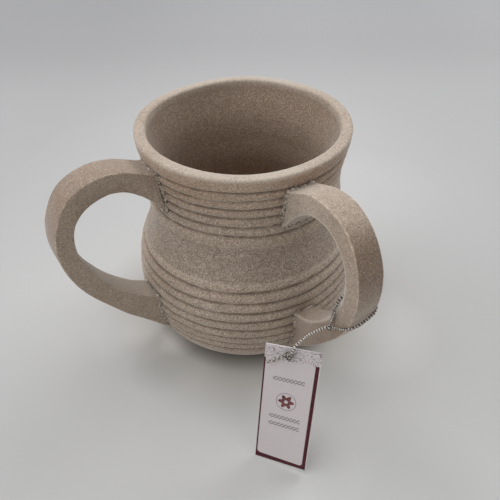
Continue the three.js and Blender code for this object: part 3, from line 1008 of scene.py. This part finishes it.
def strap_edge(shares, rise, upper):
    """Rows of one edge of the strap, raised a little near its upper or else its lower foot."""
    fine = spline(shares, 600)
    out, up = fine[np.linspace(0, len(fine) - 1, STRAP_ROWS).round().astype(int)].T
    height = HANDLE_FOOT + up * (HANDLE_TOP - HANDLE_FOOT)
    here = height > HANDLE_MIDDLE if upper else height < HANDLE_MIDDLE
    height += rise * here * np.clip(1 - out, 0, 1) ** 2
    return np.stack([NECK_RADIUS + out * HANDLE_STAND_OUT, height], 1)


def ended_on_cup(grid):
    """The grid's columns cut off just outside the cup, with as many rows as before."""
    gap = np.hypot(grid[..., 0], grid[..., 1]) - crest_radius(grid[..., 2]) - FOOT_GAP
    cut = np.empty_like(grid)
    at = np.arange(len(grid))
    for column in range(grid.shape[1]):
        out = np.flatnonzero(gap[:, column] > 0)
        first, last = out[0], out[-1]
        low = first - gap[first, column] / (gap[first, column] - gap[first - 1, column])
        high = last + gap[last, column] / (gap[last, column] - gap[last + 1, column])
        rows_at = np.linspace(low, high, len(grid))
        for axis in range(3):
            cut[:, column, axis] = np.interp(rows_at, at, grid[:, column, axis])
    return cut


def strap_points(rng, width, lift, drop, low_flare):
    """The strap's points row by row, ending on the cup, and each point's wear. Its top foot is
    lifted, the upper side of its bottom foot dropped and that foot widened, by small amounts."""
    outer = strap_edge(OUTER_EDGE, lift, upper=True)
    inner = strap_edge(INNER_EDGE, -drop, upper=False)
    a_sign, b_sign, angles, inset, worn, _ = strap_section()
    middle = (outer + inner) / 2
    half = np.linalg.norm(outer - inner, axis=1)[:, None] / 2
    outward = unit(outer - inner)
    run = np.linspace(0, math.tau, STRAP_ROWS)
    wide = width / 2 + STRAP_STRAY * ripple(rng, run, 1, 6)[:, None]
    round_by = STRAP_EDGE_ROUND * (1 + 0.12 * ripple(rng, run, 2, 12)[:, None])
    a = a_sign * (half - round_by - inset) + round_by * np.cos(angles)[None]
    b = b_sign * (wide - round_by) + round_by * np.sin(angles)[None]
    a = a + np.sign(a) * STRAP_CROWN * (1 - (b / wide) ** 2) * (np.abs(a) > half * 0.8)
    x = middle[:, :1] + a * outward[:, :1]
    z = middle[:, 1:] + a * outward[:, 1:]
    near = np.clip(1 - (x - crest_radius(z)) / FOOT_FLARE_REACH, 0, 1)
    y = b + np.sign(b) * np.where(z > HANDLE_MIDDLE, FOOT_FLARE, low_flare) * near ** 2
    wear = np.repeat(worn[None], STRAP_ROWS, 0) * (0.75 + 0.25 * ripple(rng, run, 3, 30)[:, None])
    return ended_on_cup(np.stack([x, y, z], -1)), np.clip(wear, 0, 1)


def turned(points, angle):
    turn = Matrix.Rotation(math.radians(angle), 3, "Z")
    return np.asarray(points) @ np.array(turn).T


def strap_tints(strap, brown, tan):
    """How pale and how brown each point is: brown is painted shade on the strap's far end, its inner
    shelf and its near side, and tan tints all of it, most on its outer face and the top of its back."""
    _, _, angles, _, _, rim = strap_section()
    outer_face, inner_face = [np.clip(k * np.cos(angles) - 1, 0, 1) for k in (2, -2)]
    back_face, near_face = [np.clip(k * np.sin(angles) - 1, 0, 1) for k in (2, -2)]
    across, height = strap[..., 0], strap[..., 2]
    # Painted light on the lower arm's inner face, which faces up, as far as tan says
    lower = inner_face * fall(height, 0.055, 0.085)
    pale = (7 * tan * lower).clip(0, 2) + brown * rim * (0.5 + 0.2 * ease(height, 0.05, 0.08))

    # Painted shade: the far end of the outer face, the shelf of the lower foot and the near side face
    far = 0.88 * ease(across, 0.088, 0.103) * ease(height, 0.08, 0.108)
    shelf = inner_face * fall(height, 0.062, 0.075)
    shaded = 0.28 * ease(across, 0.077, 0.087) + 0.4 * fall(height, 0.07, 0.085)
    back = back_face * ease(height, 0.1, 0.113) * fall(height, 0.119, 0.126) * fall(
        across, 0.088, 0.1)
    tint = outer_face * (brown * far + tan) + tan * (0.8 - 0.7 * lower + 1.1 * back)
    tint += brown * (0.75 * shelf + near_face * shaded * (rim == 0))
    return pale, tint.clip(0, 1)


def make_handle(side, stone, angle, brown, tan, seed, **shape):
    """One handle, its tints as strap_tints says. Gives back the outlines of its two feet."""
    rng = np.random.default_rng(seed)
    strap, wear = strap_points(rng, **shape)
    pale, tint = strap_tints(strap, brown, tan)
    foot = np.minimum(
        np.linalg.norm(strap - strap[:1], axis=2), np.linalg.norm(strap - strap[-1:], axis=2))
    # Dirt and painted shade near the strap's ends, where it meets the cup
    end_dirt_and_shade = 0.3 * np.exp(-foot / END_DIRT_AND_SHADE_REACH) * (1 + 0.4 * rng.normal(size=foot.shape))
    marks = {"pale": pale, "brown": tint, "groove": np.clip(end_dirt_and_shade, 0, 1), "edge": 0.8 * wear}
    marks = {name: np.r_[values.ravel(), 0, 0] for name, values in marks.items()}
    ends = [strap[0].mean(0), strap[-1].mean(0)]
    points = np.vstack([strap.reshape(-1, 3), ends])
    marks["fine"] = np.ones(len(points))
    faces = closed_faces(*strap.shape[:2])
    handle = piece(f"loop_{side}", turned(points, angle), faces, stone, marks)
    place_on(handle, "cup", "stone", f"handle_{side}")
    return turned(strap[0], angle), turned(strap[-1], angle)


def crumb(rng, place, size):
    shape = bmesh.new()
    bmesh.ops.create_icosphere(shape, subdivisions=1, radius=size)
    points = np.array([v.co for v in shape.verts])
    faces = [[v.index for v in f.verts] for f in shape.faces]
    shape.free()
    points *= rng.uniform(0.6, 1.25, points.shape)
    return points + place, faces


def bead_line(rng, foot, turn):
    """The bead's path round a handle's foot, just off the cup, and the way out from the cup."""
    line = resample(np.vstack([foot, foot[:1]]), len(turn) + 1)[:-1]
    spread = unit(line - foot.mean(0))
    over = BEAD_TUCK * ease(np.abs(spread[:, 2]), 0.3, 0.8)
    line += spread * (BEAD_WANDER * ripple(rng, turn, 6, 60) - over)[:, None]
    radial = line * (1, 1, 0)
    reach = np.linalg.norm(radial, axis=1)
    line += unit(radial) * (crest_radius(line[:, 2]) + BEAD_LIFT - reach)[:, None]
    return line, unit(radial)


def make_bead(name, foot, radius_at, adhesive, seed):
    """A lumpy bead round a handle's foot, with crumbs beside it on the cup."""
    rng = np.random.default_rng(seed)
    count = round(run_along(np.vstack([foot, foot[:1]]))[-1] / BEAD_STEP)
    turn = full_turn(count)
    line, radial = bead_line(rng, foot, turn)
    along = unit(np.roll(line, -1, 0) - np.roll(line, 1, 0))
    across = np.cross(along, radial)
    lumps = 1 + 0.3 * ripple(rng, turn, 8, 60)[:, None]
    lumps = lumps + 0.2 * rng.normal(size=(count, BEAD_SIDES))
    bead_points = rings(line, BEAD_RADIUS * np.clip(lumps, 0.35, 1.7), radial, across)
    parts = [(bead_points, grid_faces(count, BEAD_SIDES, wrap_rows=True))]

    at = rng.integers(count, size=CRUMBS)
    spots = line[at] + across[at] * rng.normal(0, CRUMB_SPREAD, (CRUMBS, 1))
    on_cup = radius_at(spots) + CRUMB_LIFT
    spots += radial[at] * (on_cup - np.linalg.norm(spots[:, :2], axis=1))[:, None]
    for spot, size in zip(spots, rng.uniform(*CRUMB_SIZES, CRUMBS)):
        parts.append(crumb(rng, spot, size))
    points, faces = joined(parts)
    paleness = np.zeros(len(points))
    start = count * BEAD_SIDES
    each = (len(points) - start) // CRUMBS
    paleness[start:] = np.repeat(rng.choice(CRUMB_PALENESS, CRUMBS), each)
    bead = piece(name, points, faces, adhesive, {"crumb": paleness})
    place_on(bead, "cup", "adhesive", name.replace("bead", "adhesive"))


# Card
def card_points():
    """Grid of points of the card's back, bowed, twisted and raised towards its foot."""
    x, y = np.meshgrid(np.linspace(0, TAG_WIDTH, TAG_COLUMNS), np.linspace(0, TAG_LENGTH, TAG_ROWS))
    share = y / TAG_HOLE[1]
    low = np.clip(1 - share, 0, 1)
    bow = TAG_BOW * np.sin(math.pi * np.clip(share, 0, 1.2)) * (0.6 + 0.4 * x / TAG_WIDTH)
    bow += low * np.interp(x / TAG_WIDTH, (0, 1), TAG_TWIST)
    rise = low * np.interp(x / TAG_WIDTH, (0, 1), TAG_RISE)
    return np.stack([x, y + rise, bow], -1)


def card_sheet():
    """The card as a closed sheet, without its hole."""
    shape = bmesh.new()
    back, front = [
        [[shape.verts.new(spot) for spot in row] for row in card_points() + (0, 0, lift)]
        for lift in (0, TAG_THICKNESS)]
    right, top = TAG_COLUMNS - 1, TAG_ROWS - 1
    for r in range(top):
        for c in range(right):
            for sheet in (front, back):
                low, high = sheet[r:r + 2]
                shape.faces.new((low[c], low[c + 1], high[c + 1], high[c]))
    edge = [(0, c) for c in range(right)]
    edge += [(r, right) for r in range(top)]
    edge += [(top, c) for c in range(right, 0, -1)]
    edge += [(r, 0) for r in range(top, 0, -1)]
    for (r, c), (next_r, next_c) in zip(edge, edge[1:] + edge[:1]):
        shape.faces.new((back[r][c], back[next_r][next_c], front[next_r][next_c], front[r][c]))
    mesh = bpy.data.meshes.new("tag_card")
    finish_mesh(shape, mesh)
    return in_scene("tag_card", mesh)


def cut_hole(card):
    bpy.ops.mesh.primitive_cylinder_add(
        vertices=40, radius=TAG_HOLE_RADIUS, depth=0.01, location=(*TAG_HOLE, 0))
    cutter = bpy.context.object
    hole = card.modifiers.new("hole", "BOOLEAN")
    hole.object, hole.operation, hole.solver = cutter, "DIFFERENCE", "EXACT"
    bpy.context.view_layer.objects.active = card
    bpy.ops.object.modifier_apply(modifier="hole")
    bpy.data.objects.remove(cutter)


def make_card(printed, plain):
    """The card in its place, its print laid out in millimetres on its front."""
    card = card_sheet()
    cut_hole(card)
    mesh = card.data
    mesh.materials.clear()
    mesh.materials.append(plain)
    mesh.materials.append(printed)
    uv = mesh.uv_layers.new(name="card")
    for face in mesh.polygons:
        face.material_index = 1 if face.normal.z > 0.9 else 0
        for loop in face.loop_indices:
            spot = mesh.vertices[mesh.loops[loop].vertex_index].co
            uv.data[loop].uv = (spot.x * 1000, spot.y * 1000)
    mesh.transform(card_to_row())
    place_on(card, "tag", "card", "hang_tag")


# Floor and light
def make_floor():
    half = FLOOR_SIZE / 2
    corners = [(-half, -half, 0), (half, -half, 0), (half, half, 0), (-half, half, 0)]
    floor = piece("floor", corners, [[0, 1, 2, 3]], floor_material())
    floor.location.z = -FLOOR_DROP


def area_light(name, place, size, power):
    data = bpy.data.lights.new(name, "AREA")
    data.shape, data.size, data.energy = "DISK", size, power
    lamp = in_scene(name, data)
    lamp.location = place
    lamp.rotation_mode = "QUATERNION"
    lamp.rotation_quaternion = (LAMP_AIM - Vector(place)).to_track_quat("-Z", "Y")


def make_light():
    area_light("overhead", OVERHEAD_PLACE, OVERHEAD_SIZE, OVERHEAD_POWER)
    for name, across, away, power in LAMPS:
        place = CAMERA_RIGHT * across + AWAY * away
        area_light(name, (place.x, place.y, LAMP_HEIGHT), LAMP_SIZE, power)
    world = bpy.data.worlds.new("studio")
    bpy.context.scene.world = world
    world.use_nodes = True
    s = Nodes(world.node_tree)
    shown = s.mix(s.background_seen(), WORLD_LIGHT, WORLD_SEEN)
    s.feed(s.tree.nodes["Background"].inputs["Color"], shown)
    bpy.context.scene.view_settings.view_transform = "Standard"


make_camera()
thread = thread_material()
string, string_path = make_string(thread)
knot = make_knot(thread)
tail = make_tail(thread)

stone = stone_material()
adhesive = adhesive_material()
feet = {}
for side, sizes in HANDLES.items():
    feet[side, "top"], feet[side, "bottom"] = make_handle(side, stone, **sizes)
cup_radius = make_body(stone, feet.values())
for number, ((side, end), foot) in enumerate(feet.items()):
    make_bead(f"bead_{side}_{end}", foot, cup_radius, adhesive, BEAD_SEED + number)
make_card(printed_card_material(), plain_card_material())
make_floor()
make_light()
